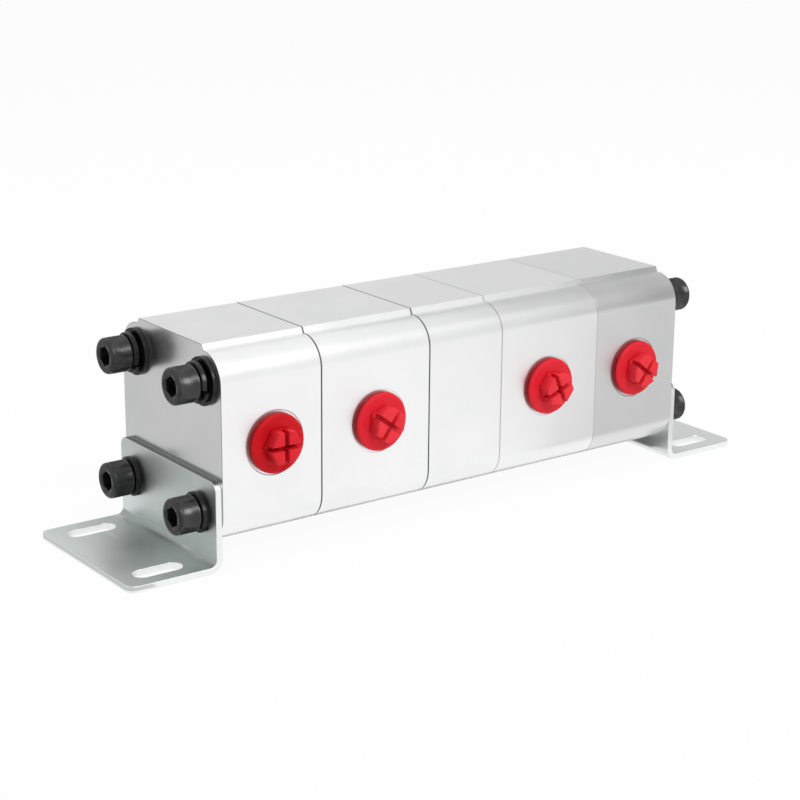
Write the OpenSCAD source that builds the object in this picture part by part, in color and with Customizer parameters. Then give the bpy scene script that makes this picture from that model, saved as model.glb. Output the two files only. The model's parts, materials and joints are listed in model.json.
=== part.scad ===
// Gear flow divider: two metering gear sections on one drive line, drawn together by tie bolts,
// on two angle feet.
// The origin is the middle of the four foot slots, on the mounting plane.
// X runs along the row of blocks, the ports face -Y and Z is up.
// Lengths are in millimetres and angles in degrees.

/* [Blocks] */
// Side of the square block section, without the pads
block_side = 82; // [80:0.5:90]
// Radius of the section's corners
corner_r = 12.8; // [10:0.1:15]
// Rise of the flat pads on the top and bottom
pad_rise = 2.4; // [1:0.2:4]
// Lean of the pads' long edges
pad_lean = 1.2; // [0.4:0.2:3]
// Flat strip between a pad and the rounded corner beside it
pad_inset = 0.8; // [0.2:0.2:2]
// Length of each end cover
cover_length = 50; // [46:1:64]
// Length of each gear body
body_length = 57.5; // [52:0.5:70]
// Length of the centre block
centre_length = 41; // [40:0.5:55]
// Height of the blocks' axis above the mounting plane
axis_height = 52.5; // [50:0.5:65]

/* [Feet] */
// Thickness of the foot plate
foot_thickness = 3; // [2:0.5:5]
// Set-back of the foot plate from the blocks' sides
foot_set_back = 0.5; // [0.5:0.5:4]
// Reach of the foot from the end of the cover
foot_reach = 44.5; // [42:0.5:60]
// Height of the upright leg above the lower bolts
foot_leg_margin = 15.4; // [12:0.2:20]
// Radius of the plate's corners
foot_corner = 4.5; // [2:0.5:8]
// Inside radius of the bend
foot_bend = 3; // [2:0.5:5]
// Length of each mounting slot, end to end
slot_length = 23; // [16:1:26]
// Width of each mounting slot
slot_width = 9; // [7:0.5:11]
// Distance between the two slots of one foot
slot_pitch = 58; // [48:1:60]
// Distance from the foot's outer edge to the slot's middle
slot_inset = 19.5; // [17:0.5:21]

/* [Ports] */
// Diameter of the port thread
port_thread_d = 20.9; // [16.6:0.1:22]
// Depth of the port thread
port_thread_depth = 16; // [14:0.5:19]
// Diameter of the drilling behind the thread
port_drill_d = 14; // [10:0.5:15]
// Diameter of the spot face round each port
port_face_d = 28.5; // [26.5:0.5:34]
// Depth of the spot face
port_face_depth = 0.4; // [0.2:0.1:1]
// Distance of each port from its block's middle, towards the centre block
port_shift = 1.1; // [0:0.1:4]
// Diameter of the inlet gallery that runs through the blocks
gallery_d = 11; // [8:0.5:12]
// Distance from the gear chamber's waist to the middle of the gallery
gallery_offset = 3.9; // [2.5:0.1:4.5]
// Length of a drilling past what it opens into
drill_overrun = 1; // [0.5:0.5:4]

/* [Gears] */
// Size of the teeth: pitch diameter over number of teeth
gear_module = 2.5; // [2.2:0.05:2.6]
// Number of teeth on every gear
gear_teeth = 12; // [11:1:12]
// Pressure angle of the teeth
pressure_angle = 28; // [26:0.5:30]
// Width of the teeth
gear_width = 24; // [18:1:28]
// Play between meshing flanks
gear_backlash = 0.12; // [0.08:0.02:0.3]
// Depth of the root below the pitch circle, in modules
root_depth = 1.25; // [1.2:0.05:1.35]
// Bevel at the foot of each tooth
root_bevel = 0.4; // [0.2:0.1:0.6]
// Gap between the tooth tips and the gear chamber
tip_clearance = 0.1; // [0.05:0.01:0.2]
// Gap on each side of the gear
side_play = 0.05; // [0.02:0.01:0.1]

/* [Shafts and bearings] */
// Diameter of the shaft journals
journal_d = 18; // [16:0.5:18.5]
// Gap between a shaft's end and the block that closes the chamber
shaft_end_gap = 0.5; // [0.3:0.1:0.9]
// Wall of the bearing liners
liner_wall = 1; // [0.8:0.1:1.5]
// Set-back of the liners from the faces of the bearing block
liner_inset = 0.25; // [0.1:0.05:0.5]
// Radial running clearance of a journal in its liner
bearing_clearance = 0.05; // [0.02:0.01:0.1]
// Gap between a bearing block and the gear chamber
bearing_block_gap = 0.05; // [0.02:0.01:0.1]
// Width of the relief pockets beside the mesh
relief_width = 4; // [2:0.2:5]
// Height of the relief pockets
relief_height = 8; // [4:0.5:9]
// Depth of the relief pockets
relief_depth = 1.2; // [0.6:0.1:2]
// Distance from the mid-plane to the near side of a relief pocket
relief_offset = 2.4; // [1.8:0.1:3]

/* [Coupling] */
// Outside diameter of the coupling sleeve
coupling_d = 22; // [21:0.5:23]
// Gap between the sleeve and its bore in the centre block
coupling_gap = 0.5; // [0.3:0.1:0.9]
// Distance from the centre block's faces to the sleeve's ends
coupling_inset = 7; // [4:0.5:9]
// Thickness of the driving tangs
tang_thickness = 8; // [5:0.5:9]
// Radial step from the journal down to the tang
tang_step = 1; // [0.5:0.25:2]
// Gap between the two tangs, and between shoulder and sleeve
tang_gap = 0.8; // [0.4:0.1:1]
// Play of a tang in the sleeve's slot
tang_play = 0.05; // [0.02:0.01:0.1]

/* [Seals] */
// Land between the gear chamber and the joint seal
seal_land = 2.8; // [2.2:0.1:3.2]
// Width of the joint seals' grooves
seal_width = 2.2; // [1.6:0.1:2.6]
// Depth of the joint seals' grooves
seal_depth = 1.7; // [1.2:0.1:2.2]
// Land between the bearing block's edge and its pressure seal
pressure_seal_land = 1.8; // [1.4:0.1:2.2]
// Width of the pressure seals' grooves
pressure_seal_width = 2; // [1.6:0.1:2.4]
// Depth of the pressure seals' grooves
pressure_seal_depth = 1.6; // [1.2:0.1:2]
// Reach of the pressure seals past the mid-plane
pressure_seal_reach = 2; // [1:0.5:4]
// Gap round a seal, a dowel or a liner in its seat
seat_gap = 0.02; // [0.01:0.01:0.05]

/* [Fasteners] */
// Distance between tie bolts, across and up
bolt_pitch = 56.5; // [54:0.5:59]
// Thread diameter of the tie bolts
bolt_d = 10; // [8:1:11]
// Bolt length beyond the cover and the gear body
bolt_grip = 22.5; // [18:0.5:22.5]
// Diameter of the bolt heads
head_d = 16; // [13:0.5:18]
// Height of the bolt heads
head_height = 10; // [8:0.5:12]
// Bevel on the heads' rims and the bolts' ends
bolt_bevel = 0.8; // [0.4:0.1:1.2]
// Width across the flats of the socket
socket_width = 8; // [6:1:10]
// Depth of the socket
socket_depth = 5; // [4:0.5:6]
// Radial gap between a bolt and the holes that it passes
bolt_hole_gap = 0.5; // [0.3:0.1:0.8]
// Radial gap between a bolt and its tapped hole
thread_gap = 0.05; // [0.02:0.01:0.1]
// Radial gap between a bolt and its washers
washer_gap = 0.25; // [0.1:0.05:0.5]
// Outside diameter of the flat washers under the upper heads
flat_washer_d = 21; // [18:0.5:22]
// Thickness of the flat washers
flat_washer_thickness = 2; // [1.5:0.1:3]
// Outside diameter of the spring washers
spring_washer_d = 18; // [16:0.5:19]
// Thickness of the spring washers
spring_washer_thickness = 2.6; // [1.5:0.1:3]
// Width of the split in the spring washers
spring_washer_split = 1.4; // [0.8:0.1:2]
// How far the left spring washers still stand open
left_spring_rise = 1.7; // [0:0.1:2.5]
// How far the right spring washers still stand open
right_spring_rise = 0; // [0:0.1:2.5]
// Direction of the split, from level
spring_washer_turn = 65; // [0:5:355]
// Diameter of the dowel pins
dowel_d = 8; // [5:0.5:9]
// Length of the dowel pins
dowel_length = 16; // [10:1:20]
// Distance from a block's side to its dowel pins
dowel_inset = 7; // [6:0.5:9]

/* [Port plugs] */
// Length of the plug's threaded shank
plug_shank = 11; // [7:0.5:12]
// Wall of the hollow shank
plug_wall = 2; // [1.5:0.1:3]
// Radial gap between the shank and the port thread
plug_gap = 0.15; // [0.1:0.05:0.3]
// Gap between the flange's rim and the edge of the spot face
plug_rim_gap = 1; // [0.5:0.25:2]
// Thickness of the flange
plug_flange = 3.5; // [2:0.1:5]
// Radius of the flange's edge
plug_edge = 1; // [0.4:0.1:1.2]
// Width across the flats of the six-sided hub
plug_hub_width = 14; // [11:0.5:16]
// Height of the hub above the flange
plug_hub_height = 6.5; // [5:0.5:9]
// Width of the cross slots
plug_slot_width = 2; // [1.2:0.1:3]
// Depth of the cross slots
plug_slot_depth = 5; // [2:0.5:5]
// Turn of each plug, from left to right
plug_turns = [0, -38, -67, -38]; // [-90:1:90]

/* [Hidden] */
$fn = 64;

// Overlap of a cut past the face it starts from, and of shapes that join
cut = 1;
// Rows of tie bolts, from the blocks' axis
upper = 1;
lower = -1;

// Places along the row, for the right-hand half
centre_end = centre_length / 2;
body_end = centre_end + body_length;
cover_end = body_end + cover_length;
body_middle = (centre_end + body_end) / 2;
body_port = body_middle - port_shift;
cover_port = (body_end + cover_end) / 2 - port_shift;
foot_face = cover_end + foot_thickness;
foot_end = cover_end + foot_reach;
slot_middle = foot_end - slot_inset;

front = -block_side / 2;
flat_half = block_side / 2 - corner_r;
pad_half = flat_half - pad_inset;
foot_width = block_side - 2 * foot_set_back;
bend_r = foot_thickness + foot_bend;
leg_top = axis_height - bolt_pitch / 2 + foot_leg_margin;

// Gear sizes
gear_distance = gear_module * gear_teeth;
pitch_r = gear_distance / 2;
tip_r = pitch_r + gear_module;
root_r = pitch_r - root_depth * gear_module;
base_r = pitch_r * cos(pressure_angle);
tooth_half_angle = 90 / gear_teeth - gear_backlash / (4 * pitch_r) * 180 / PI;
flank_steps = 6;
gear_start = body_middle - gear_width / 2;
gear_end = body_middle + gear_width / 2;

// Chamber, bearing and gallery sizes
chamber_r = tip_r + tip_clearance;
chamber_waist = sqrt(pow(chamber_r, 2) - pow(gear_distance / 2, 2));
bearing_length = (body_length - gear_width) / 2 - side_play;
bearing_r = chamber_r - bearing_block_gap;
liner_bore = journal_d + 2 * bearing_clearance;
liner_d = liner_bore + 2 * liner_wall;
gallery_y = chamber_waist + gallery_offset;
seal_inner_r = chamber_r + seal_land;
seal_outer_r = seal_inner_r + seal_width;
pressure_seal_outer_r = bearing_r - pressure_seal_land;
pressure_seal_inner_r = pressure_seal_outer_r - pressure_seal_width;

// Coupling sizes
coupling_end = centre_end - coupling_inset;
tang_width = journal_d - 2 * tang_step;

// Fastener sizes
bolt_length = cover_length + body_length + bolt_grip;
bolt_hole_d = bolt_d + 2 * bolt_hole_gap;
washer_bore = bolt_d + 2 * washer_gap;
dowel_y = block_side / 2 - dowel_inset;

// Plug sizes
plug_shank_d = port_thread_d - 2 * plug_gap;
plug_flange_d = port_face_d - 2 * plug_rim_gap;
plug_top = plug_flange + plug_hub_height;

// Faces that carry the spring washer and the head in one row of bolts
function spring_washer_seat(row) = row == upper ? cover_end + flat_washer_thickness : foot_face;
function head_seat(row, rise) = spring_washer_seat(row) + spring_washer_thickness + rise;

// Lean of a spring washer that stands open, and the bore with which it still clears its bolt
function spring_lean(rise) = asin(rise / spring_washer_d);
function spring_bore(rise) =
    washer_bore / cos(spring_lean(rise)) + spring_washer_thickness * tan(spring_lean(rise));

// Angle between an involute's start and its point at the given pressure angle
function involute(angle) = tan(angle) * 180 / PI - angle;
// Half the angle that a tooth fills at radius r
function tooth_angle(r) = tooth_half_angle + involute(pressure_angle) - involute(acos(base_r / r));
function polar(r, angle) = r * [cos(angle), sin(angle)];
function flank_r(step) = base_r + (tip_r - base_r) * step / flank_steps;
// One side of a tooth from the root to the tip
function flank(middle, side) = concat(
    [polar(root_r, middle + side * (tooth_angle(base_r) + root_bevel / root_r * 180 / PI))],
    [polar(root_r + root_bevel, middle + side * tooth_angle(base_r))],
    [for (step = [0 : flank_steps])
        polar(flank_r(step), middle + side * tooth_angle(flank_r(step)))]
);
function reversed(points) = [for (i = [len(points) - 1 : -1 : 0]) points[i]];

// Outlines and placing

// Runs an outline along X, with its own axes on Y and Z from the blocks' axis
module run_x(from, to) {
    translate([min(from, to), 0, axis_height])
        rotate([90, 0, 90])
            linear_extrude(abs(to - from))
                children();
}

// Runs an outline along Y at one place along the row
module run_y(from, to, x) {
    translate([x, to, axis_height])
        rotate([90, 0, 0])
            linear_extrude(to - from)
                children();
}

module on_left() {
    mirror([1, 0, 0])
        children();
}

module at_bolts(rows = [lower, upper]) {
    for (side = [-1, 1], row = rows)
        translate([side, row] * bolt_pitch / 2)
            children();
}

module at_drive() {
    translate([0, gear_distance / 2])
        children();
}

module at_driven() {
    translate([0, -gear_distance / 2])
        children();
}

module at_gears() {
    at_drive() children();
    at_driven() children();
}

module at_dowels() {
    for (side = [-1, 1])
        translate([side * dowel_y, 0])
            children();
}

module figure_eight(r) {
    at_gears() circle(r = r);
}

module racetrack(r) {
    figure_eight(r);
    square([2 * r, gear_distance], center = true);
}

module gear_outline() {
    polygon([
        for (tooth = [0 : gear_teeth - 1])
            let (middle = tooth * 360 / gear_teeth)
                each concat(flank(middle, -1), reversed(flank(middle, 1)))
    ]);
}

// Both pads, as one strip that runs through the block
module pads_outline() {
    pad_top = block_side / 2 + pad_rise;
    polygon([
        [-pad_half + pad_lean, -pad_top],
        [pad_half - pad_lean, -pad_top],
        [pad_half, -block_side / 2],
        [pad_half, block_side / 2],
        [pad_half - pad_lean, pad_top],
        [-pad_half + pad_lean, pad_top],
        [-pad_half, block_side / 2],
        [-pad_half, -block_side / 2],
    ]);
}

module block_outline() {
    square([block_side, 2 * flat_half], center = true);
    square([2 * flat_half, block_side], center = true);
    for (across = [-1, 1], up = [-1, 1])
        translate([across, up] * flat_half)
            circle(r = corner_r);
    pads_outline();
}

module joint_seal_outline(gap) {
    difference() {
        racetrack(seal_outer_r - gap);
        racetrack(seal_inner_r + gap);
    }
}

module pressure_seal_outline(gap) {
    intersection() {
        difference() {
            figure_eight(pressure_seal_outer_r - gap);
            figure_eight(pressure_seal_inner_r + gap);
        }
        translate([pressure_seal_reach - gap - block_side, -block_side / 2])
            square(block_side);
    }
}

module washer_outline(d, bore) {
    difference() {
        circle(d = d);
        circle(d = bore);
    }
}

module spring_washer_outline(rise) {
    difference() {
        washer_outline(spring_washer_d, spring_bore(rise));
        rotate(spring_washer_turn)
            translate([0, -spring_washer_split / 2])
                square([spring_washer_d, spring_washer_split]);
    }
}

// Plate that starts on the X axis, with its two far corners rounded
module plate_outline(width, length) {
    translate([-width / 2, 0])
        square([width, length - foot_corner]);
    translate([-width / 2 + foot_corner, 0])
        square([width - 2 * foot_corner, length]);
    for (side = [-1, 1])
        translate([side * (width / 2 - foot_corner), length - foot_corner])
            circle(r = foot_corner);
}

// Slot along the X axis of its outline
module slot_outline() {
    square([slot_length - slot_width, slot_width], center = true);
    for (side = [-1, 1])
        translate([side * (slot_length - slot_width) / 2, 0])
            circle(d = slot_width);
}

// Cuts shared by the blocks

module bolt_holes(from, to, d, rows = [lower, upper]) {
    run_x(from - cut, to + cut)
        at_bolts(rows) circle(d = d);
}

module gallery(from, to) {
    run_x(from, to)
        translate([gallery_y, 0])
            circle(d = gallery_d);
}

module dowel_holes(joint) {
    run_x(joint - dowel_length / 2 - seat_gap, joint + dowel_length / 2 + seat_gap)
        at_dowels() circle(d = dowel_d + 2 * seat_gap);
}

// Spot-faced and threaded port with its drilling, in the front
module port(x, drill_end) {
    run_y(front - cut, front + port_face_depth, x)
        circle(d = port_face_d);
    run_y(front - cut, front + port_thread_depth, x)
        circle(d = port_thread_d);
    run_y(front - cut, drill_end, x)
        circle(d = port_drill_d);
}

// Blocks, each drawn for the right-hand half

module end_cover() {
    difference() {
        run_x(body_end, cover_end)
            block_outline();
        bolt_holes(body_end, cover_end, bolt_hole_d);
        port(cover_port, gallery_y + gallery_d / 2 + drill_overrun);
        gallery(body_end - cut, cover_port);
        dowel_holes(body_end);
        run_x(body_end - cut, body_end + seal_depth)
            joint_seal_outline(0);
    }
}

module gear_body() {
    difference() {
        run_x(centre_end, body_end)
            block_outline();
        bolt_holes(centre_end, body_end, bolt_hole_d);
        port(body_port, -chamber_waist + drill_overrun);
        run_x(centre_end - cut, body_end + cut)
            figure_eight(chamber_r);
        gallery(centre_end - cut, body_end + cut);
        dowel_holes(centre_end);
        dowel_holes(body_end);
    }
}

module left_end_cover() {
    color("silver") on_left() end_cover();
}

module right_end_cover() {
    color("silver") end_cover();
}

module left_gear_body() {
    color("gainsboro") on_left() gear_body();
}

module right_gear_body() {
    color("gainsboro") gear_body();
}

module centre_block() {
    color("silver")
        difference() {
            run_x(-centre_end, centre_end)
                block_outline();
            bolt_holes(-centre_end, centre_end, bolt_d + 2 * thread_gap);
            gallery(-centre_end - cut, centre_end + cut);
            run_x(-centre_end - cut, centre_end + cut)
                at_drive() circle(d = coupling_d + 2 * coupling_gap);
            for (side = [-1, 1]) {
                dowel_holes(side * centre_end);
                run_x(side * (centre_end - seal_depth), side * (centre_end + cut))
                    joint_seal_outline(0);
            }
        }
}

// Feet

// Quarter ring of the bend, below and to the left of its centre
module bend_outline() {
    intersection() {
        difference() {
            circle(r = bend_r);
            circle(r = foot_bend);
        }
        translate([-bend_r, -bend_r])
            square(bend_r);
    }
}

module foot() {
    difference() {
        union() {
            translate([cover_end, 0, bend_r])
                rotate([90, 0, 90])
                    linear_extrude(foot_thickness)
                        plate_outline(foot_width, leg_top - bend_r);
            translate([cover_end + bend_r, 0, 0])
                rotate(-90)
                    linear_extrude(foot_thickness)
                        plate_outline(foot_width, foot_reach - bend_r);
            translate([cover_end + bend_r, foot_width / 2, bend_r])
                rotate([90, 0, 0])
                    linear_extrude(foot_width)
                        bend_outline();
        }
        bolt_holes(cover_end, foot_face, bolt_hole_d, [lower]);
        for (side = [-1, 1])
            translate([slot_middle, side * slot_pitch / 2, -cut])
                linear_extrude(foot_thickness + 2 * cut)
                    slot_outline();
    }
}

module left_foot() {
    color("lightsteelblue") on_left() foot();
}

module right_foot() {
    color("lightsteelblue") foot();
}

// Fasteners

module tie_bolt() {
    difference() {
        rotate_extrude()
            polygon([
                [0, -bolt_length],
                [bolt_d / 2 - bolt_bevel, -bolt_length],
                [bolt_d / 2, -bolt_length + bolt_bevel],
                [bolt_d / 2, 0],
                [head_d / 2, 0],
                [head_d / 2, head_height - bolt_bevel],
                [head_d / 2 - bolt_bevel, head_height],
                [0, head_height],
            ]);
        translate([0, 0, head_height - socket_depth])
            cylinder(d = socket_width / cos(30), h = socket_depth + cut, $fn = 6);
    }
}

module tie_bolts(rise) {
    for (side = [-1, 1], row = [lower, upper])
        translate([head_seat(row, rise), side * bolt_pitch / 2, axis_height + row * bolt_pitch / 2])
            rotate([0, 90, 0])
                tie_bolt();
}

module flat_washers() {
    run_x(cover_end, cover_end + flat_washer_thickness)
        at_bolts([upper]) washer_outline(flat_washer_d, washer_bore);
}

// Split washer along X from its seat, leaning as far as it stands open
module spring_washer(rise) {
    translate([(spring_washer_thickness + rise) / 2, 0, 0])
        rotate([0, spring_lean(rise), 0])
            rotate([90, 0, 90])
                linear_extrude(spring_washer_thickness, center = true)
                    spring_washer_outline(rise);
}

module spring_washers(rise) {
    for (side = [-1, 1], row = [lower, upper])
        translate([spring_washer_seat(row), side * bolt_pitch / 2, axis_height + row * bolt_pitch / 2])
            spring_washer(rise);
}

module left_tie_bolts() {
    color("dimgray") on_left() tie_bolts(left_spring_rise);
}

module right_tie_bolts() {
    color("dimgray") tie_bolts(right_spring_rise);
}

module left_flat_washers() {
    color("gray") on_left() flat_washers();
}

module right_flat_washers() {
    color("gray") flat_washers();
}

module left_spring_washers() {
    color("gray") on_left() spring_washers(left_spring_rise);
}

module right_spring_washers() {
    color("gray") spring_washers(right_spring_rise);
}

module dowel_pins() {
    color("darkgray")
        for (joint = [-body_end, -centre_end, centre_end, body_end])
            run_x(joint - dowel_length / 2, joint + dowel_length / 2)
                at_dowels() circle(d = dowel_d);
}

// Gears and drive line

module drive_gear() {
    shoulder = coupling_end + tang_gap;
    run_x(gear_start, gear_end)
        at_drive() rotate(-90) gear_outline();
    run_x(shoulder, body_end - shaft_end_gap)
        at_drive() circle(d = journal_d);
    run_x(tang_gap / 2, shoulder + cut)
        at_drive() intersection() {
            circle(d = tang_width);
            square([tang_thickness, tang_width], center = true);
        }
}

// The driven gear shows a tooth space where the drive gear shows a tooth
module driven_gear() {
    run_x(gear_start, gear_end)
        at_driven() rotate(90 + 180 / gear_teeth) gear_outline();
    run_x(centre_end + shaft_end_gap, body_end - shaft_end_gap)
        at_driven() circle(d = journal_d);
}

module left_drive_gear() {
    color("slategray") on_left() drive_gear();
}

module right_drive_gear() {
    color("slategray") drive_gear();
}

module left_driven_gear() {
    color("lightslategray") on_left() driven_gear();
}

module right_driven_gear() {
    color("lightslategray") driven_gear();
}

module drive_coupling() {
    color("darkslategray")
        run_x(-coupling_end, coupling_end)
            at_drive() difference() {
                circle(d = coupling_d);
                square([tang_thickness + 2 * tang_play, tang_width + 2 * tang_play], center = true);
            }
}

// Bearings: face is the side away from the gear, inward is the direction towards the gear

module bearing_block(face, inward) {
    gear_face = face + inward * bearing_length;
    difference() {
        run_x(face, gear_face)
            figure_eight(bearing_r);
        run_x(face - inward * cut, gear_face + inward * cut)
            at_gears() circle(d = liner_d + 2 * seat_gap);
        run_x(face - inward * cut, face + inward * pressure_seal_depth)
            pressure_seal_outline(0);
        run_x(gear_face - inward * relief_depth, gear_face + inward * cut)
            for (side = [0, 1])
                mirror([side, 0])
                    translate([relief_offset, -relief_height / 2])
                        square([relief_width, relief_height]);
    }
}

module liners(face, inward) {
    run_x(face + inward * liner_inset, face + inward * (bearing_length - liner_inset))
        at_gears() difference() {
            circle(d = liner_d);
            circle(d = liner_bore);
        }
}

module pressure_seal(face, inward) {
    run_x(face, face + inward * (pressure_seal_depth - seat_gap))
        pressure_seal_outline(seat_gap);
}

module left_outer_bearing_block() {
    color("tan") on_left() bearing_block(body_end, -1);
}

module left_inner_bearing_block() {
    color("tan") on_left() bearing_block(centre_end, 1);
}

module right_inner_bearing_block() {
    color("tan") bearing_block(centre_end, 1);
}

module right_outer_bearing_block() {
    color("tan") bearing_block(body_end, -1);
}

module left_outer_liners() {
    color("peru") on_left() liners(body_end, -1);
}

module left_inner_liners() {
    color("peru") on_left() liners(centre_end, 1);
}

module right_inner_liners() {
    color("peru") liners(centre_end, 1);
}

module right_outer_liners() {
    color("peru") liners(body_end, -1);
}

module left_outer_pressure_seal() {
    color("black") on_left() pressure_seal(body_end, -1);
}

module left_inner_pressure_seal() {
    color("black") on_left() pressure_seal(centre_end, 1);
}

module right_inner_pressure_seal() {
    color("black") pressure_seal(centre_end, 1);
}

module right_outer_pressure_seal() {
    color("black") pressure_seal(body_end, -1);
}

// Joint seals, in their grooves in the covers and the centre block

module joint_seal(joint, inward) {
    run_x(joint, joint + inward * (seal_depth - seat_gap))
        joint_seal_outline(seat_gap);
}

module left_cover_seal() {
    color("black") on_left() joint_seal(body_end, 1);
}

module left_centre_seal() {
    color("black") on_left() joint_seal(centre_end, -1);
}

module right_centre_seal() {
    color("black") joint_seal(centre_end, -1);
}

module right_cover_seal() {
    color("black") joint_seal(body_end, 1);
}

// Port plugs

// Half section of the plug's flange and hollow shank
module plug_section() {
    translate([plug_shank_d / 2 - plug_wall, -plug_shank])
        square([plug_wall, plug_shank + cut]);
    square([plug_flange_d / 2, plug_flange - plug_edge]);
    square([plug_flange_d / 2 - plug_edge, plug_flange]);
    translate([plug_flange_d / 2 - plug_edge, plug_flange - plug_edge])
        circle(r = plug_edge);
}

module port_plug(x, turn) {
    translate([x, front + port_face_depth, axis_height])
        rotate([90, 0, 0])
            rotate(turn)
                difference() {
                    union() {
                        rotate_extrude() plug_section();
                        translate([0, 0, plug_flange - cut])
                            cylinder(d = plug_hub_width / cos(30), h = plug_hub_height + cut, $fn = 6);
                    }
                    for (across = [0, 90])
                        rotate(across)
                            translate([-plug_hub_width, -plug_slot_width / 2, plug_top - plug_slot_depth])
                                cube([2 * plug_hub_width, plug_slot_width, plug_slot_depth + cut]);
                }
}

module left_inlet_plug() {
    color("crimson") port_plug(-cover_port, plug_turns[0]);
}

module left_outlet_plug() {
    color("crimson") port_plug(-body_port, plug_turns[1]);
}

module right_outlet_plug() {
    color("crimson") port_plug(body_port, plug_turns[2]);
}

module right_inlet_plug() {
    color("crimson") port_plug(cover_port, plug_turns[3]);
}

left_end_cover();
left_gear_body();
centre_block();
right_gear_body();
right_end_cover();
left_foot();
right_foot();
left_tie_bolts();
right_tie_bolts();
left_flat_washers();
right_flat_washers();
left_spring_washers();
right_spring_washers();
left_drive_gear();
right_drive_gear();
drive_coupling();
left_driven_gear();
right_driven_gear();
left_outer_bearing_block();
left_inner_bearing_block();
right_inner_bearing_block();
right_outer_bearing_block();
left_outer_liners();
left_inner_liners();
right_inner_liners();
right_outer_liners();
left_outer_pressure_seal();
left_inner_pressure_seal();
right_inner_pressure_seal();
right_outer_pressure_seal();
left_cover_seal();
left_centre_seal();
right_centre_seal();
right_cover_seal();
dowel_pins();
left_inlet_plug();
left_outlet_plug();
right_outlet_plug();
right_inlet_plug();
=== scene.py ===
"""Looks of a gear flow divider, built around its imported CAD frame."""

import json
import math

import bmesh
import bpy
from mathutils import Matrix, Vector


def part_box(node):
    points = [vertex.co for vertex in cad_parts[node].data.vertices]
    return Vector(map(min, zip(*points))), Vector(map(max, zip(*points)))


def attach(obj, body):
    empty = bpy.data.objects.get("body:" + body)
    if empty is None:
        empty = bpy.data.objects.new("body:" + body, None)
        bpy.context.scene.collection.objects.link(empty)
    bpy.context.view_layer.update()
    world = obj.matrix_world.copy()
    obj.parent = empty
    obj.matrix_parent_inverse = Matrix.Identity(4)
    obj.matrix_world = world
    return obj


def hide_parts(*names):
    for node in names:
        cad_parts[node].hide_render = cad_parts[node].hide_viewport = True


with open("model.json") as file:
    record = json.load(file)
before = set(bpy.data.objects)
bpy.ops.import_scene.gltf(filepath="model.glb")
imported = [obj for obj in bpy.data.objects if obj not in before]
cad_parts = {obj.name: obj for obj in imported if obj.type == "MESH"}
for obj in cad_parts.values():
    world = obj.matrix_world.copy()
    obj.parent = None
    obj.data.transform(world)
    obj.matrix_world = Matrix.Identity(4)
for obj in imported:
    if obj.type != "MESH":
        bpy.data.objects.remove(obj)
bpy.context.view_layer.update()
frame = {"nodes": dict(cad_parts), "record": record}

MM = 0.001
WHITE = (1, 1, 1, 1)

# Places taken over from the solids, in millimetres
AXIS_Z = 52.5
BLOCK_LOW = 11.5
BOLT_SIDE = 28.25
COVER_END = 128
FOOT_PLATE = 3
FLAT_WASHER = 2
LEFT_FOOT_END = -172.5
LEFT_FOOT_BEND = -140
FLANGE_FRONT = -44.5
HUB_FRONT = -50

# In a foot's inner bend, where the painted shade lies, the way from the row's middle and the height add
# up to about this
BEND_CORNER = 136
BEND_FULL = 1.0
BEND_GONE = 1.6

# The first plug ends and the others start between these places along the row
DEEP_RED_END = -85
LIGHTER_RED_START = -65


# Shader wiring

NOISE_ROUGHNESS = 0.55


class Wire:
    """A socket of a finish that takes part in plain arithmetic."""

    def __init__(self, finish, socket):
        self.finish = finish
        self.socket = socket

    def sum_up(self, operation, first, second):
        return self.finish.node("ShaderNodeMath", {"operation": operation}, {0: first, 1: second})

    def __add__(self, other):
        return self.sum_up("ADD", self, other)

    def __sub__(self, other):
        return self.sum_up("SUBTRACT", self, other)

    def __rsub__(self, other):
        return self.sum_up("SUBTRACT", other, self)

    def __mul__(self, other):
        return self.sum_up("MULTIPLY", self, other)

    def __abs__(self):
        return self.sum_up("ABSOLUTE", self, 0.0)

    __radd__ = __add__
    __rmul__ = __mul__


class Finish:
    """A node tree with a maker's helpers for colour, grain and bump."""

    def __init__(self, tree):
        self.tree = tree

    def node(self, kind, settings=None, sockets=None, out=0):
        made = self.tree.nodes.new(kind)
        for name, value in (settings or {}).items():
            setattr(made, name, value)
        for name, value in (sockets or {}).items():
            self.feed(made.inputs[name], value)
        return Wire(self, made.outputs[out])

    def feed(self, socket, value):
        if isinstance(value, Wire):
            self.tree.links.new(value.socket, socket)
        else:
            socket.default_value = value

    def place(self):
        return self.node("ShaderNodeTexCoord", out="Object")

    def noise(self, place, scale, detail):
        """Noise from 0 to 1, with its own scale along each axis in cells per metre."""
        stretched = self.node("ShaderNodeMapping", {}, {"Vector": place, "Scale": scale})
        return self.node("ShaderNodeTexNoise", {},
                         {"Vector": stretched, "Scale": 1.0, "Detail": detail,
                          "Roughness": NOISE_ROUGHNESS}, "Fac")

    def spread(self, value, low, high):
        """Spreads the values from low to high over 0 to 1."""
        return self.node("ShaderNodeMapRange", {"clamp": True},
                         {"Value": value, "From Min": low, "From Max": high}, "Result")

    def fade(self, value, full, gone):
        """1 up to one value and 0 from another on."""
        return 1.0 - self.spread(value, full, gone)

    def part_of(self, vector, axis):
        return self.node("ShaderNodeSeparateXYZ", {}, {"Vector": vector}, axis)

    def mix(self, factor, first, second):
        return self.node("ShaderNodeMix", {"data_type": "RGBA"},
                         {"Factor": factor, 6: first, 7: second}, 2)

    def bump(self, height, depth, strength):
        return self.node("ShaderNodeBump", {},
                         {"Height": height, "Distance": depth, "Strength": strength}, "Normal")


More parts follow.
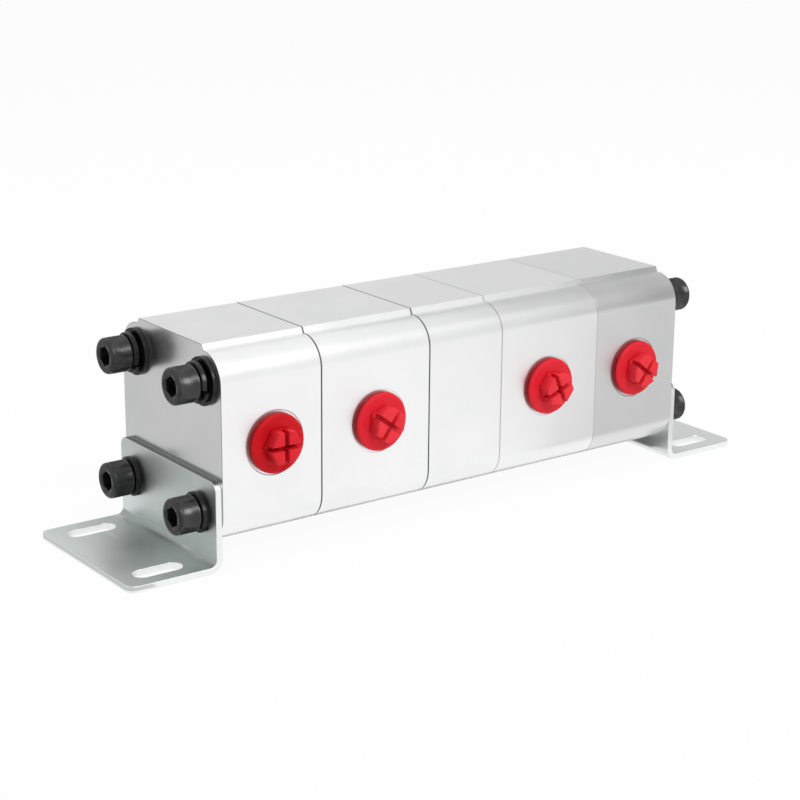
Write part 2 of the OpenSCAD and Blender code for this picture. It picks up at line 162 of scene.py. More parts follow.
def new_finish(name, **constants):
    """A material with its shader, and the shader's constant sockets set."""
    material = bpy.data.materials.new(name)
    material.use_nodes = True
    finish = Finish(material.node_tree)
    shader = material.node_tree.nodes["Principled BSDF"]
    for key, value in constants.items():
        shader.inputs[key.replace("_", " ")].default_value = value
    finish.material = material
    finish.shader = shader
    return finish


def dress(finish, colour, roughness, normal):
    finish.feed(finish.shader.inputs["Base Color"], colour)
    finish.feed(finish.shader.inputs["Roughness"], roughness)
    finish.feed(finish.shader.inputs["Normal"], normal)
    return finish.material


def grey(level, tint=(1.0, 1.0, 1.0)):
    return tuple(level * t for t in tint) + (1.0,)


# Finishes

# Joints between blocks, left to right: how dark each shows, and how much painted shade darkens the next
# block
JOINTS = ((-78, 1.0, 0.0), (-20.5, 1.0, 0.01), (20.5, 0.4, 0.0), (78, 0.3, 0.06))

# A joint's dark line lies a little to the left, which keeps the next block's edge bright
JOINT_DARK = 0.18
JOINT_CLEAN = 0.5
JOINT_SHIFT = 0.22

# The eased edges round both ends of the row, which carry a painted dark reflection, and how dark it
# shows
END_EDGE = 0.6
END_EDGE_FULL = 0.5
END_REFLECTION_DARK = 0.9

# How much more painted shade darkens the front of the last block
LAST_FRONT_SHADE = 0.09


def facing(f, axis):
    """How squarely a surface faces along one axis of the row, from 0 to 1."""
    normal = f.node("ShaderNodeTexCoord", out="Normal")
    return abs(f.part_of(normal, axis))


def turned_to(f, axis):
    """1 on surfaces that face along one axis of the row, 0 on the others."""
    return f.spread(facing(f, axis), 0.6, 0.85)


def joint_line(f, place):
    """1 in the narrow grooves where two blocks meet, fading out beside them."""
    along = f.part_of(place, "X")
    line = None
    for joint, strength, _ in JOINTS:
        aside = abs(along - (joint - JOINT_SHIFT) * MM)
        near = f.fade(aside, JOINT_DARK * MM, JOINT_CLEAN * MM) * strength
        line = near if line is None else line + near
    return line * f.spread(f.part_of(place, "Z"), BLOCK_LOW * MM, (BLOCK_LOW + 1) * MM)


def end_edge_reflection(f, place):
    """1 on the edges round both ends of the row, where the cut face turns over and a painted dark
    reflection lies.
    """
    squarely = facing(f, "X")
    turning = f.spread(squarely, 0.05, 0.3) * f.fade(squarely, 0.97, 0.998)
    out = abs(f.part_of(place, "X"))
    return turning * f.spread(out, (COVER_END - END_EDGE) * MM, (COVER_END - END_EDGE_FULL) * MM)


def block_shade(f, place):
    """Painted shade on each block, deepening block by block towards the right, and more of it on the
    last one's front.
    """
    along = f.part_of(place, "X")
    tone = 1.0
    last_block = None
    for joint, _, shade_drop in JOINTS:
        beyond = f.node("ShaderNodeMath", {"operation": "GREATER_THAN"}, {0: along, 1: joint * MM})
        tone = tone - beyond * shade_drop
        last_block = beyond
    front = f.spread(facing(f, "Y"), 0.3, 0.7)
    return tone - last_block * front * LAST_FRONT_SHADE


def machined_aluminium():
    """Satin aluminium with fine drawn lines along the row, milled ends and oily joints, painted shade
    deepening towards the right and a painted dark reflection on both end edges.
    """
    f = new_finish("machined_aluminium", Metallic=1.0)
    place = f.place()
    end_face = f.spread(facing(f, "X"), 0.8, 0.95)
    lines = f.noise(place, (22, 2300, 2300), detail=2.0)
    cloud = f.spread(f.noise(place, (38, 46, 46), detail=4.0), 0.3, 0.7)
    specks = f.noise(place, (1500, 1500, 1500), detail=1.0)
    clean = f.mix(cloud * 0.6 + lines * 0.4, grey(0.89, (0.995, 1.0, 1.005)), grey(0.95))
    # Painted shade, deeper block by block towards the right
    block_shaded = f.node("ShaderNodeVectorMath", {"operation": "SCALE"},
                   {0: clean, "Scale": block_shade(f, place)})
    # Dark joints, and a painted dark reflection on the eased edges at both ends of the row
    colour = f.mix(joint_line(f, place) + END_REFLECTION_DARK * end_edge_reflection(f, place), block_shaded, grey(0.03))
    roughness = 0.27 + 0.07 * cloud + 0.06 * lines - 0.10 * end_face
    return dress(f, colour, roughness, f.bump(lines + 0.5 * specks, 0.000012, 0.5))


def left_only(f, place):
    """1 on the left half of the row."""
    return f.node("ShaderNodeMath", {"operation": "LESS_THAN"}, {0: f.part_of(place, "X"), 1: 0.0})


def zinc_plate():
    """Bright zinc over rolled plate: cool grey clouds, rolling lines and bright sheared edges.

    The left plate has a painted dark reflection towards its bend, the right one is lighter on its level
    faces, both bends have painted shade, and the leg's top edge has a painted dark reflection.
    """
    f = new_finish("zinc_plate", Metallic=1.0)
    place = f.place()
    cloud = f.spread(f.noise(place, (30, 22, 30), detail=5.0), 0.3, 0.7)
    rolling = f.noise(place, (1400, 18, 1400), detail=2.0)
    scuffs = f.spread(f.noise(place, (260, 40, 260), detail=3.0), 0.62, 0.74)
    height = f.part_of(place, "Z")
    low = f.fade(height, FOOT_PLATE * MM, (FOOT_PLATE + 0.2) * MM)
    up_the_leg = f.spread(height, 0.5 * AXIS_Z * MM, 0.6 * AXIS_Z * MM)
    # Painted dark reflection on the leg's top edge
    top_edge_reflection = turned_to(f, "Z") * up_the_leg
    side_edge = turned_to(f, "Y")
    end_edge = turned_to(f, "X") * low
    inward = f.spread(f.part_of(place, "X"), LEFT_FOOT_END * MM, LEFT_FOOT_BEND * MM)
    level = turned_to(f, "Z") * low
    left = left_only(f, place)
    corner = abs(f.part_of(place, "X")) + height
    turning = f.fade(facing(f, "X"), 0.95, 1.0) * f.fade(facing(f, "Z"), 0.95, 1.0)
    # Painted shade in the inner bend of both feet
    bend_shade = turning * f.fade(abs(corner - BEND_CORNER * MM), BEND_FULL * MM, BEND_GONE * MM)
    tone = f.mix(cloud, (0.66, 0.715, 0.70, 1), (0.77, 0.81, 0.80, 1))
    # Painted dark reflection on the left plate's level faces, deepening towards its bend
    left_painted_reflection = f.mix(level * inward * left * 0.6, tone, (0.36, 0.39, 0.38, 1))
    # The right plate lighter on its level faces
    right_plate_lighter = f.mix(level * (1.0 - left) * 0.8, left_painted_reflection, (0.88, 0.885, 0.875, 1))
    bend_shaded = f.mix(bend_shade * 0.7, right_plate_lighter, (0.30, 0.33, 0.32, 1))
    wear_and_hub_light = f.mix(scuffs * 0.35, bend_shaded, (0.82, 0.83, 0.82, 1))
    sheared = f.mix(f.spread(side_edge + end_edge, 0.0, 1.0), wear_and_hub_light, (0.90, 0.91, 0.91, 1))
    colour = f.mix(top_edge_reflection, sheared, (0.12, 0.13, 0.128, 1))
    roughness = 0.34 + 0.09 * cloud + 0.08 * rolling
    return dress(f, colour, roughness, f.bump(rolling + 0.6 * cloud, 0.000015, 0.5))


def black_oxide():
    """Oiled black oxide: nearly black, a little browner and duller in patches."""
    f = new_finish("black_oxide", Metallic=0.0, Specular_IOR_Level=0.5)
    place = f.place()
    patches = f.spread(f.noise(place, (190, 190, 190), detail=5.0), 0.35, 0.7)
    grit = f.noise(place, (3200, 3200, 3200), detail=2.0)
    colour = f.mix(patches, (0.009, 0.009, 0.0095, 1), (0.022, 0.0217, 0.0214, 1))
    roughness = 0.22 + 0.08 * patches + 0.06 * grit
    return dress(f, colour, roughness, f.bump(grit, 0.00002, 0.6))


def spring_steel():
    """Dark phosphated washers, rubbed brighter where the tooling held them."""
    f = new_finish("spring_steel", Metallic=0.0, Specular_IOR_Level=0.3)
    place = f.place()
    patches = f.spread(f.noise(place, (240, 240, 240), detail=4.0), 0.4, 0.75)
    grit = f.noise(place, (2600, 2600, 2600), detail=2.0)
    colour = f.mix(patches, (0.004, 0.004, 0.0045, 1), (0.012, 0.0118, 0.0118, 1))
    roughness = 0.20 + 0.10 * patches + 0.06 * grit
    return dress(f, colour, roughness, f.bump(grit, 0.00002, 0.5))


def red_plastic():
    """Moulded red plastic, with painted light on the front of the hub and painted shade down its sides.

    The first plug is a deeper red than the rest.
    """
    f = new_finish("red_plastic", Metallic=0.0, Specular_IOR_Level=0.12)
    place = f.place()
    depth = f.part_of(place, "Y")
    # Painted light on the hub, rising towards its front
    hub_light = f.fade(depth, HUB_FRONT * MM, FLANGE_FRONT * MM)
    on_hub = f.fade(depth, FLANGE_FRONT * MM, (FLANGE_FRONT + 0.4) * MM)
    # Painted shade down the sides, fainter on the hub
    side_shade = f.fade(facing(f, "Y"), 0.1, 0.5)
    flow = f.noise(place, (160, 160, 160), detail=3.0)
    skin = f.noise(place, (2400, 2400, 2400), detail=2.0)
    deep = f.mix(flow, (0.59, 0.004, 0.010, 1), (0.66, 0.007, 0.014, 1))
    light = f.mix(flow, (0.76, 0.016, 0.031, 1), (0.83, 0.022, 0.039, 1))
    # The first plug deeper red, the others lighter
    lighter_plugs = f.spread(f.part_of(place, "X"), DEEP_RED_END * MM, LIGHTER_RED_START * MM)
    plain = f.mix(lighter_plugs, deep, light)
    wear_and_hub_light = f.mix(hub_light, plain, f.mix(lighter_plugs, (0.76, 0.018, 0.030, 1), (0.88, 0.036, 0.052, 1)))
    colour = f.mix(side_shade * (0.88 - 0.70 * on_hub), wear_and_hub_light, (0.12, 0.001, 0.003, 1))
    roughness = 0.33 + 0.10 * flow + 0.05 * skin
    return dress(f, colour, roughness, f.bump(skin + 2.0 * flow, 0.00002, 0.5))


def ground_steel():
    """Ground and hardened gear steel with lines round the axis."""
    f = new_finish("ground_steel", Metallic=1.0)
    place = f.place()
    lines = f.noise(place, (2600, 40, 40), detail=2.0)
    heat = f.spread(f.noise(place, (60, 60, 60), detail=4.0), 0.35, 0.7)
    colour = f.mix(heat, (0.36, 0.37, 0.39, 1), (0.50, 0.50, 0.51, 1))
    roughness = 0.20 + 0.10 * lines + 0.06 * heat
    return dress(f, colour, roughness, f.bump(lines, 0.00001, 0.5))


def bearing_alloy():
    """Cast and turned bearing alloy, duller and warmer than the blocks."""
    f = new_finish("bearing_alloy", Metallic=1.0)
    place = f.place()
    grain = f.noise(place, (700, 700, 700), detail=4.0)
    turned = f.noise(place, (1800, 60, 60), detail=2.0)
    colour = f.mix(grain, (0.52, 0.50, 0.46, 1), (0.70, 0.68, 0.63, 1))
    roughness = 0.34 + 0.12 * grain + 0.06 * turned
    return dress(f, colour, roughness, f.bump(turned + grain, 0.000015, 0.5))


def liner_bronze():
    """Plain bearing bronze with fine boring lines."""
    f = new_finish("liner_bronze", Metallic=1.0)
    place = f.place()
    bored = f.noise(place, (2200, 50, 50), detail=2.0)
    tarnish = f.spread(f.noise(place, (120, 120, 120), detail=4.0), 0.4, 0.75)
    colour = f.mix(tarnish, (0.66, 0.45, 0.24, 1), (0.44, 0.27, 0.13, 1))
    roughness = 0.24 + 0.14 * tarnish + 0.06 * bored
    return dress(f, colour, roughness, f.bump(bored, 0.00001, 0.5))


def seal_rubber():
    """Moulded black rubber with a dull bloom."""
    f = new_finish("seal_rubber", Metallic=0.0, Specular_IOR_Level=0.35)
    place = f.place()
    bloom = f.spread(f.noise(place, (150, 150, 150), detail=4.0), 0.35, 0.75)
    skin = f.noise(place, (2200, 2200, 2200), detail=2.0)
    colour = f.mix(bloom, (0.012, 0.012, 0.012, 1), (0.035, 0.034, 0.033, 1))
    roughness = 0.52 + 0.18 * bloom
    return dress(f, colour, roughness, f.bump(skin, 0.00002, 0.5))


FINISHES = {
    "machined_aluminium": machined_aluminium(),
    "zinc_plate": zinc_plate(),
    "black_steel": black_oxide(),
    "washer_steel": spring_steel(),
    "gear_steel": ground_steel(),
    "bearing_alloy": bearing_alloy(),
    "liner_bronze": liner_bronze(),
    "seal_rubber": seal_rubber(),
    "red_plastic": red_plastic(),
}


# Solids that keep their own shape: finish and softened edges

WELD_REACH = 0.002 * MM
FLAT_ANGLE = math.radians(0.4)
SHARP_ANGLE = math.radians(38)
EDGE_SEGMENTS = 2


def soften(solid, width):
    """Joins the solid's facets into flat faces and rounds its sharp edges."""
    weld = solid.modifiers.new("weld", "WELD")
    weld.merge_threshold = WELD_REACH
    flats = solid.modifiers.new("flats", "DECIMATE")
    flats.decimate_type = "DISSOLVE"
    flats.angle_limit = FLAT_ANGLE
    edges = solid.modifiers.new("edges", "BEVEL")
    edges.width = width
    edges.segments = EDGE_SEGMENTS
    edges.limit_method = "ANGLE"
    edges.angle_limit = SHARP_ANGLE
    edges.use_clamp_overlap = True
    shading = solid.modifiers.new("shading", "WEIGHTED_NORMAL")
    shading.keep_sharp = False


EDGE_WIDTHS = {
    "machined_aluminium": 0.45 * MM,
    "zinc_plate": 0.35 * MM,
    "washer_steel": 0.3 * MM,
    "gear_steel": 0.15 * MM,
    "bearing_alloy": 0.2 * MM,
    "liner_bronze": 0.15 * MM,
}

node_slots = {part["node"]: part["material_slot"] for part in frame["record"]["subparts"]}
for name, solid in frame["nodes"].items():
    slot = node_slots[name]
    for holder in solid.material_slots:
        holder.material = FINISHES[slot]
    if slot in EDGE_WIDTHS:
        soften(solid, EDGE_WIDTHS[slot])


# Mesh building

def ring(mesh, points):
    return [mesh.verts.new(p) for p in points]


def bridge(mesh, first, second):
    count = len(first)
    for i in range(count):
        j = (i + 1) % count
        mesh.faces.new((first[i], first[j], second[j], second[i]))


def circle(radius, z, count):
    step = 2 * math.pi / count
    return [Vector((radius * math.cos(i * step), radius * math.sin(i * step), z)) for i in range(count)]


RIM_STEPS = 6


def rounded_rim(radius, height, edge, count):
    """Loops over the rounded upper edge of a round piece, from its side to its top."""
    loops = []
    for k in range(RIM_STEPS + 1):
        angle = math.pi / 2 * k / RIM_STEPS
        inward = edge * (1 - math.cos(angle))
        below = edge * (1 - math.sin(angle))
        loops.append(circle(radius - inward, height - below, count))
    return loops


def stack(mesh, loops):
    """Joins loops of equal length into a tube and closes its ends."""
    made = [ring(mesh, loop) for loop in loops]
    for first, second in zip(made, made[1:]):
        bridge(mesh, first, second)
    mesh.faces.new(list(reversed(made[0])))
    mesh.faces.new(made[-1])


LOOPS_PER_PITCH = 4


def thread_loops(radius, depth, pitch, start, length, count):
    """Loops of a single-start thread that run from start towards -Z."""
    loops = []
    for k in range(int(length / pitch * LOOPS_PER_PITCH) + 1):
        z = start - k * pitch / LOOPS_PER_PITCH
        loop = []
        for i in range(count):
            turn = i / count
            phase = (k / LOOPS_PER_PITCH + turn) % 1.0
            r = radius - depth * abs(2 * phase - 1)
            loop.append(Vector((r * math.cos(2 * math.pi * turn), r * math.sin(2 * math.pi * turn), z)))
        loops.append(loop)
    return loops


def finish_piece(mesh, name, slot, body, node, crease):
    """Turns a mesh into a piece that stands for a solid, sharp where faces meet beyond a crease."""
    bmesh.ops.recalc_face_normals(mesh, faces=mesh.faces)
    for edge in mesh.edges:
        edge.smooth = len(edge.link_faces) == 2 and edge.calc_face_angle() < math.radians(crease)
    for face in mesh.faces:
        face.smooth = True
    data = bpy.data.meshes.new(name)
    mesh.to_mesh(data)
    mesh.free()
    piece = bpy.data.objects.new(name, data)
    bpy.context.scene.collection.objects.link(piece)
    data.materials.append(FINISHES[slot])
    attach(piece, body)
    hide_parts(node)


def add_copy(target, part, place):
    """Adds a part's mesh to a larger one, at its place."""
    data = bpy.data.meshes.new("part")
    part.to_mesh(data)
    data.transform(place)
    target.from_mesh(data)
    bpy.data.meshes.remove(data)


def out_of_end(side, x, y, z, turn):
    """Place with local Z out of one end of the row and local X up."""
    upright = Matrix(((0, 0, side), (0, -side, 0), (1, 0, 0))).to_4x4()
    return Matrix.Translation(Vector((x, y, z)) * MM) @ upright @ Matrix.Rotation(turn, 4, "Z")


# Cap screws

SCREW_R = 5
SCREW_LENGTH = 130
SCREW_SIDES = 24
SCREW_THREAD = 32
SCREW_PITCH = 1.5
SCREW_THREAD_DEPTH = 0.9
HEAD_R = 8
HEAD_HEIGHT = 10
HEAD_EDGE = 1.4
HEAD_FOOT = 0.3
HEAD_COLLAR = 1.3
SOCKET_WIDTH = 8
SOCKET_DEPTH = 5
SOCKET_MOUTH = 4.95
SOCKET_EDGE = 0.5
SOCKET_DRILL = 1.4
KNURLS = 60
KNURL_DEPTH = 0.24
SCREW_CREASE = 32


def hexagon(width, z, count):
    """Loop on a hexagon of the given width across its flats, with a corner on local X."""
    loop = []
    for i in range(count):
        angle = 2 * math.pi * i / count
        from_flat = (angle - math.pi / 6) % (math.pi / 3)
        off_flat = min(from_flat, math.pi / 3 - from_flat)
        r = width / 2 / math.cos(off_flat)
        loop.append(Vector((r * math.cos(angle), r * math.sin(angle), z)))
    return loop


def knurled(z):
    """Loop of the head's side with a ridge at every other point."""
    ridge = circle(HEAD_R, z, 2 * KNURLS)
    groove = circle(HEAD_R - KNURL_DEPTH, z, 2 * KNURLS)
    return [pair[i % 2] for i, pair in enumerate(zip(ridge, groove))]


def cap_screw():
    """Knurled cap screw with its head's underside at the origin, in metres."""
    mesh = bmesh.new()
    count = 2 * KNURLS
    floor = HEAD_HEIGHT - SOCKET_DEPTH
    side = [circle(HEAD_R - HEAD_FOOT, 0, count), circle(HEAD_R, HEAD_FOOT, count),
            circle(HEAD_R, HEAD_COLLAR, count), knurled(HEAD_COLLAR + KNURL_DEPTH),
            knurled(HEAD_HEIGHT - HEAD_EDGE - KNURL_DEPTH)]
    rim = rounded_rim(HEAD_R, HEAD_HEIGHT, HEAD_EDGE, count)
    socket = [circle(SOCKET_MOUTH, HEAD_HEIGHT, count),
              hexagon(SOCKET_WIDTH, HEAD_HEIGHT - SOCKET_EDGE, count),
              hexagon(SOCKET_WIDTH, floor, count),
              circle(SOCKET_WIDTH / 2 - SOCKET_EDGE, floor, count),
              circle(SOCKET_EDGE, floor - SOCKET_DRILL, count)]
    stack(mesh, side + rim + socket)
    end = -SCREW_LENGTH
    thread_start = end + SCREW_THREAD + SCREW_PITCH
    core_r = SCREW_R - SCREW_THREAD_DEPTH
    plain = [circle(SCREW_R, z, SCREW_SIDES) for z in (SCREW_PITCH, thread_start)]
    thread = thread_loops(SCREW_R, SCREW_THREAD_DEPTH, SCREW_PITCH, thread_start - SCREW_PITCH / 2,
                          SCREW_THREAD - SCREW_PITCH / 2, SCREW_SIDES)
    tip = [circle(core_r, end + SCREW_PITCH / 2, SCREW_SIDES),
           circle(core_r - SCREW_PITCH / 2, end, SCREW_SIDES)]
    stack(mesh, plain + thread + tip)
    bmesh.ops.scale(mesh, vec=(MM, MM, MM), verts=mesh.verts)
    return mesh


def bolt_places():
    """Place across the end, height and spring washer's seat for each of one end's four bolts."""
    for y in (-BOLT_SIDE, BOLT_SIDE):
        yield y, AXIS_Z + BOLT_SIDE, COVER_END + FLAT_WASHER
        yield y, AXIS_Z - BOLT_SIDE, COVER_END + FOOT_PLATE


# Height of the spring washers, still open at the left and pressed flat at the right
LEFT_SPRING = 4.3
RIGHT_SPRING = 2.6
SCREW_TURNS = (0.05, 0.0, -0.12, 0.2)


def put_cap_screws(side, spring, name, node):
    screws = bmesh.new()
    part = cap_screw()
    for (y, z, seat), turn in zip(bolt_places(), SCREW_TURNS):
        add_copy(screws, part, out_of_end(side, side * (seat + spring), y, z, turn))
    part.free()
    finish_piece(screws, name, "black_steel", "housing", node, SCREW_CREASE)


put_cap_screws(-1, LEFT_SPRING, "left_cap_screws", "left_tie_bolts")
put_cap_screws(1, RIGHT_SPRING, "right_cap_screws", "right_tie_bolts")


# Spring washers

RING_OUTER = 9
RING_INNER = 5.25
RING_SPLIT = 1.4
RING_THICK = 2.4
RING_EDGE = 0.35
RING_LEAN = 0.25
RING_STEPS = 72
RING_CREASE = 38


def spring_ring(height):
    """Split ring with its seat at the origin and its ends pulled apart to a height, in metres."""
    mesh = bmesh.new()
    thick = RING_THICK
    rise = height - thick
    outline = [
        (RING_INNER + RING_EDGE, 0), (RING_OUTER - RING_EDGE, 0), (RING_OUTER, RING_EDGE),
        (RING_OUTER, thick - RING_EDGE), (RING_OUTER - RING_EDGE, thick),
        (RING_INNER + RING_EDGE, thick), (RING_INNER, thick - RING_EDGE), (RING_INNER, RING_EDGE),
    ]
    gap = RING_SPLIT / (0.5 * (RING_OUTER + RING_INNER))
    lean = RING_LEAN * gap
    loops = []
    for k in range(RING_STEPS + 1):
        along = k / RING_STEPS
        loop = []
        for r, z in outline:
            angle = gap / 2 + along * (2 * math.pi - gap) + lean * (z / thick - 0.5)
            loop.append(Vector((r * math.cos(angle), r * math.sin(angle), z + rise * (1 - along))))
        loops.append(loop)
    stack(mesh, loops)
    bmesh.ops.scale(mesh, vec=(MM, MM, MM), verts=mesh.verts)
    return mesh


RING_TURNS = (4.45, 4.0, 4.2, 3.7)


def put_spring_washers(side, spring, name, node):
    washers = bmesh.new()
    part = spring_ring(spring)
    for (y, z, seat), turn in zip(bolt_places(), RING_TURNS):
        add_copy(washers, part, out_of_end(side, side * seat, y, z, turn))
    part.free()
    finish_piece(washers, name, "washer_steel", "housing", node, RING_CREASE)


put_spring_washers(-1, LEFT_SPRING, "left_spring_rings", "left_spring_washers")
put_spring_washers(1, RIGHT_SPRING, "right_spring_rings", "right_spring_washers")


# Port plugs

FLANGE_R = 13.25
FLANGE = 3.5
FLANGE_EDGE = 1.8
FLANGE_UNDERCUT = 0.5
HUB_WIDTH = 14
HUB_HEIGHT = 6.5
HUB_EDGE = 0.45
HUB_SLOT = 2.0
HUB_SLOT_DEPTH = 5.0
SHANK = 11
SHANK_R = 10.3
SHANK_WALL = 2
SHANK_EDGE = 0.4
PLUG_PITCH = 1.8
PLUG_THREAD_DEPTH = 0.7
PLUG_SIDES = 96
PLUG_CREASE = 30

# How deep a form is sunk into the one that carries it
SUNK = 0.4

# Share of an edge's width at the middle of its rounding
MID_EDGE = 0.3


def eased_outline(corners, edge, inset):
    """Polygon with its corners eased off by an edge's width and all of it drawn in."""
    middle = sum((Vector(c) for c in corners), Vector((0, 0))) / len(corners)
    points = []
    for before, corner, after in zip(corners[-1:] + corners[:-1], corners, corners[1:] + corners[:1]):
        corner = Vector(corner)
        back = (Vector(before) - corner).normalized() * edge
        ahead = (Vector(after) - corner).normalized() * edge
        points += [corner + back, corner + MID_EDGE * (back + ahead), corner + ahead]
    return [p + (middle - p).normalized() * inset for p in points]


def rounded_post(mesh, corners, low, high, edge):
    """Upright post on a polygon, with its upper and side edges rounded."""
    mid = MID_EDGE * edge
    levels = ((0, low), (0, high - edge), (mid, high - mid), (edge, high))
    stack(mesh, [[Vector((p.x, p.y, z)) for p in eased_outline(corners, edge, inset)]
                 for inset, z in levels])


def plug_shell(mesh):
    """Hollow threaded shank and its flange."""
    bore_r = SHANK_R - SHANK_WALL
    core_r = SHANK_R - PLUG_THREAD_DEPTH
    rings = [(bore_r, SUNK), (bore_r, SHANK_EDGE - SHANK), (bore_r + SHANK_EDGE, -SHANK),
             (core_r - SHANK_EDGE, -SHANK), (core_r, SHANK_EDGE - SHANK)]
    bore = [circle(r, z, PLUG_SIDES) for r, z in rings]
    thread = thread_loops(SHANK_R, PLUG_THREAD_DEPTH, PLUG_PITCH, -PLUG_PITCH / 2, SHANK - PLUG_PITCH,
                          PLUG_SIDES)
    seat = [circle(core_r, 0, PLUG_SIDES), circle(FLANGE_R - FLANGE_UNDERCUT, 0, PLUG_SIDES)]
    rim = rounded_rim(FLANGE_R, FLANGE, FLANGE_EDGE, PLUG_SIDES)
    under_hub = [circle(HUB_WIDTH / 2 - FLANGE_EDGE, FLANGE, PLUG_SIDES)]
    stack(mesh, bore + thread[::-1] + seat + rim + under_hub)


def plug_hub(mesh):
    """Six-sided hub with a cross slot, which leaves four posts."""
    slot_floor = FLANGE + HUB_HEIGHT - HUB_SLOT_DEPTH
    base = [(p.x, p.y) for p in hexagon(HUB_WIDTH, 0, 6)]
    rounded_post(mesh, base, FLANGE - SUNK, slot_floor, HUB_EDGE / 2)
    corner_r = HUB_WIDTH / math.sqrt(3)
    half = HUB_SLOT / 2
    quarter = [(half, half), (corner_r - half / math.sqrt(3), half),
               (corner_r / 2, HUB_WIDTH / 2), (half, HUB_WIDTH / 2)]
    for flip_x in (1, -1):
        for flip_y in (1, -1):
            corners = [(x * flip_x, y * flip_y) for x, y in quarter]
            rounded_post(mesh, corners, slot_floor - SUNK, FLANGE + HUB_HEIGHT, HUB_EDGE)


def port_plug():
    """Screw-in plug with the flange's seat at the origin and the hub along Z, in metres."""
    mesh = bmesh.new()
    plug_shell(mesh)
    plug_hub(mesh)
    bmesh.ops.scale(mesh, vec=(MM, MM, MM), verts=mesh.verts)
    return mesh


# How far each plug is turned, in degrees
PLUG_TURNS = {"left_inlet": 0, "left_outlet": -38, "right_outlet": -67, "right_inlet": -38}


def put_plug(port, turn):
    node = port + "_plug"
    low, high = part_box(node)
    seat = Vector(((low.x + high.x) / 2, high.y - SHANK * MM, (low.z + high.z) / 2))
    forward = Matrix(((1, 0, 0), (0, 0, -1), (0, 1, 0))).to_4x4()
    plug = port_plug()
    plug.transform(Matrix.Translation(seat) @ forward @ Matrix.Rotation(math.radians(turn), 4, "Z"))
    finish_piece(plug, port + "_cap", "red_plastic", node + "_body", node, PLUG_CREASE)


for port, turn in PLUG_TURNS.items():
    put_plug(port, turn)


# Studio

def studio_plane(name, middle, across, along, material):
    """Flat rectangle spanned by two half vectors."""
    mesh = bmesh.new()
    middle, across, along = Vector(middle), Vector(across), Vector(along)
    mesh.faces.new([mesh.verts.new(middle + a * across + b * along)
                    for a, b in ((-1, -1), (1, -1), (1, 1), (-1, 1))])
    data = bpy.data.meshes.new(name)
    mesh.to_mesh(data)
    mesh.free()
    data.materials.append(material)
    plane = bpy.data.objects.new(name, data)
    bpy.context.scene.collection.objects.link(plane)
    return plane


SEEN_RAYS = ("Is Camera Ray", "Is Glossy Ray", "Is Transmission Ray")
FLOOR_GLOW = 0.95


def plain_sight(f):
    """1 for a ray that shows the background itself: to the eye, a mirror or through glass."""
    eye, mirror, glass = (f.node("ShaderNodeLightPath", out=ray) for ray in SEEN_RAYS)
    return eye + mirror + glass


def floor_finish():
    """Matt white floor that keeps a faint shadow."""
    f = new_finish("studio_floor", Roughness=0.9, Specular_IOR_Level=0.1)
    f.shader.inputs["Base Color"].default_value = grey(0.82)
    glow = f.node("ShaderNodeEmission", {}, {"Color": WHITE, "Strength": 1.0})
    matt = Wire(f, f.shader.outputs["BSDF"])
    floor = f.node("ShaderNodeMixShader", {}, {"Fac": plain_sight(f) * FLOOR_GLOW, 1: matt, 2: glow})
    f.feed(f.tree.nodes["Material Output"].inputs["Surface"], floor)
    return f.material


def card_finish(name, level):
    """Plain card that shows one grey in the metal's reflections."""
    f = new_finish(name, Roughness=1.0)
    card = f.node("ShaderNodeEmission", {}, {"Color": grey(level), "Strength": 1.0})
    f.feed(f.tree.nodes["Material Output"].inputs["Surface"], card)
    return f.material


# Grey cards that only the metal mirrors: middle, two half sides and tone of each
CARDS = {
    "right_card": ((1.722, -1.03, 0.001), (0.75, 0, 0), (0.91, -0.97, 0), 0.69),
    "screen_card": ((0.935, -0.26, 0.51), (0.50, 0, 0), (0.21, 0, 0.42), 0.34),
    "roof_card": ((0.68, 0.15, 0.45), (0.40, 0, 0), (0, 0.35, 0), 0.52),
    "left_card": ((-0.62, 0.40, 0.001), (0.46, 0, 0), (0, 0.60, 0), 0.565),
    "back_card": ((0.5, 1.6, 0.8), (2.4, 0, 0), (0, 0, 0.9), 0.75),
    "front_card": ((-2.0, -1.8, 0.9), (1.7, 0, 0), (0, 0, 0.9), 0.76),
    "front_right_card": ((1.5, -1.8, 0.95), (1.8, 0, 0), (0, 0, 0.85), 0.87),
    "ceiling_card": ((0, 0, 2.4), (0.7, 0, 0), (0, 0.7, 0), 0.76),
    # The last two lie under the row as painted shadow, standing for the floor's shade in the metal's
    # reflections
    "row_card": ((-0.02, 0.0, 0.001), (0.109, 0, 0), (0, 0.027, 0), 0.15),
    "under_card": ((0.108, 0.008, 0.001), (0.019, 0, 0), (0, 0.034, 0), 0.12),
}

studio_plane("floor", (0, 0, 0), (6, 0, 0), (0, 6, 0), floor_finish())
for name, (middle, across, along, tone) in CARDS.items():
    card = studio_plane(name, middle, across, along, card_finish(name, tone))
    card.visible_camera = False
    card.visible_diffuse = False
    card.visible_shadow = False


def soft_lamp(name, place, aim, size, power, shines):
    data = bpy.data.lights.new(name, "AREA")
    data.shape = "RECTANGLE"
    data.size, data.size_y = size
    data.energy = power
    lamp = bpy.data.objects.new(name, data)
    lamp.location = place
    lamp.rotation_euler = (Vector(aim) - Vector(place)).to_track_quat("-Z", "Y").to_euler()
    lamp.visible_glossy = shines
    bpy.context.scene.collection.objects.link(lamp)
    return lamp


ROW_MIDDLE = (0, 0, 0.05)
SCREWS_MIDDLE = (-0.13, 0, 0.08)
IN_FRONT = (0.0, -1.4, 1.3)

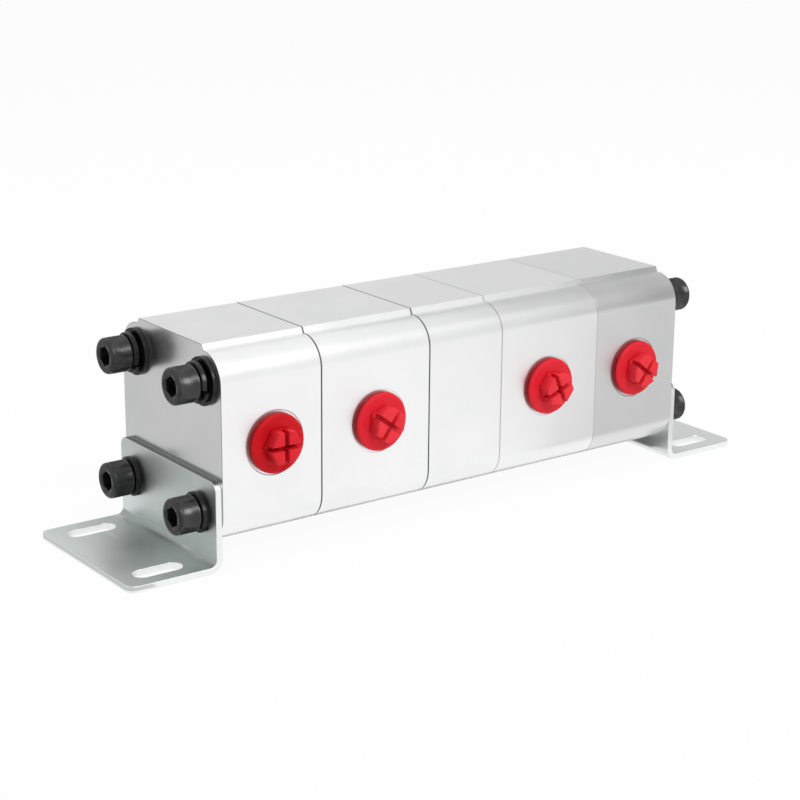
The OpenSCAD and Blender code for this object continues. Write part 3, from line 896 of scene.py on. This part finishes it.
# Place, aim, size and power of each lamp, and whether the metal mirrors it
LAMPS = {
    "key": (IN_FRONT, ROW_MIDDLE, (0.9, 0.7), 9.5, True),
    "fill": (IN_FRONT, ROW_MIDDLE, (0.9, 0.7), 7.5, False),
    "top": ((0.2, 0.1, 1.6), ROW_MIDDLE, (1.2, 1.0), 11, False),
    "glint": ((0.55, -0.83, 0.65), SCREWS_MIDDLE, (0.6, 0.5), 8, True),
}
lamps = {name: soft_lamp(name, *about) for name, about in LAMPS.items()}

DARK_PIECES = ("left_cap_screws", "right_cap_screws", "left_spring_rings", "right_spring_rings")
DARK_NODES = ("left_flat_washers", "right_flat_washers")


def keep_for_screws(lamp):
    """Lets a lamp light the dark screws and washers alone, which would be lost without a glint."""
    dark = bpy.data.collections.new("dark_fasteners")
    for name in DARK_PIECES:
        dark.objects.link(bpy.data.objects[name])
    for name in DARK_NODES:
        dark.objects.link(frame["nodes"][name])
    lamp.light_linking.receiver_collection = dark


keep_for_screws(lamps["glint"])


def light_room():
    """White to the eye, with softer light from the left than from the right."""
    world = bpy.data.worlds.new("room")
    bpy.context.scene.world = world
    world.use_nodes = True
    f = Finish(world.node_tree)
    rightward = f.part_of(f.node("ShaderNodeTexCoord", out="Generated"), "X")
    soft = f.mix(f.spread(rightward, -1.0, 1.0), grey(0.10), grey(0.80))
    f.feed(world.node_tree.nodes["Background"].inputs["Color"], f.mix(plain_sight(f), soft, WHITE))


light_room()


# Camera at the photograph's place

CAMERA_PLACE = (-0.5315, -0.7082, 0.3098)
CAMERA_AHEAD = (0.5703, 0.7692, -0.2881)
CAMERA_ACROSS = (0.8048, -0.5934, 0.0087)
CAMERA_LENS = 89.26
CAMERA_SENSOR = 36


def set_camera():
    data = bpy.data.cameras.new("camera")
    data.sensor_width = CAMERA_SENSOR
    data.lens = CAMERA_LENS
    camera = bpy.data.objects.new("camera", data)
    ahead = Vector(CAMERA_AHEAD).normalized()
    across = Vector(CAMERA_ACROSS)
    across = (across - across.dot(ahead) * ahead).normalized()
    up = across.cross(ahead)
    turn = Matrix((across, up, -ahead)).transposed().to_4x4()
    camera.matrix_world = Matrix.Translation(CAMERA_PLACE) @ turn
    bpy.context.scene.collection.objects.link(camera)
    bpy.context.scene.camera = camera


set_camera()
bpy.context.scene.view_settings.view_transform = "Standard"
